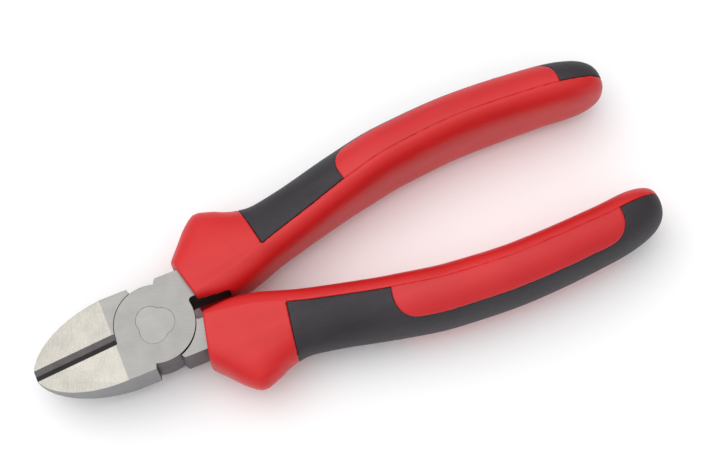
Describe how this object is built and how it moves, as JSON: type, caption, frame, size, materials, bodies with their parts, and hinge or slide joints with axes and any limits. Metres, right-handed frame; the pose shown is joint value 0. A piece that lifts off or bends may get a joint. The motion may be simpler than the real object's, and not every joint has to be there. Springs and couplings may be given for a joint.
{
  "type": "diagonal cutting pliers",
  "caption": "Side cutters with a riveted lap joint, bevelled jaws meeting on a cutting edge, and curved soft-zone handle grips with front guards.",
  "frame": {"origin": "bottom centre of the whole tool's box, lying flat with closed jaws", "axes": "+X runs along the tool from the jaw tips to the handle ends, +Z is normal to the head's flat faces and up, towards the face with the shaped rivet head, +Y points to the handle that belongs to the lever whose disc is on top"},
  "size_m": [0.1611, 0.0578, 0.0244],
  "materials": {
    "tool_steel": "satin ground",
    "rivet_steel": "ground flush",
    "red_plastic": "satin",
    "inlay_plastic": "fine satin",
    "black_elastomer": "matt"
  },
  "bodies": {
    "front_half": {"front_lever": "tool_steel", "joint_rivet": "rivet_steel", "upper_grip_body": "red_plastic", "upper_grip_overmould": "black_elastomer", "upper_grip_inlay_front": "inlay_plastic", "upper_grip_inlay_back": "inlay_plastic"},
    "back_half": {"back_lever": "tool_steel", "lower_grip_body": "red_plastic", "lower_grip_overmould": "black_elastomer", "lower_grip_inlay_front": "inlay_plastic", "lower_grip_inlay_back": "inlay_plastic"}
  },
  "joints": [
    {"name": "lap_joint", "type": "hinge", "parent": "front_half", "child": "back_half", "pos_m": [-0.0483, 0, 0.0122], "axis": [0, 0, -1], "range_deg": [0, 35]}
  ]
}
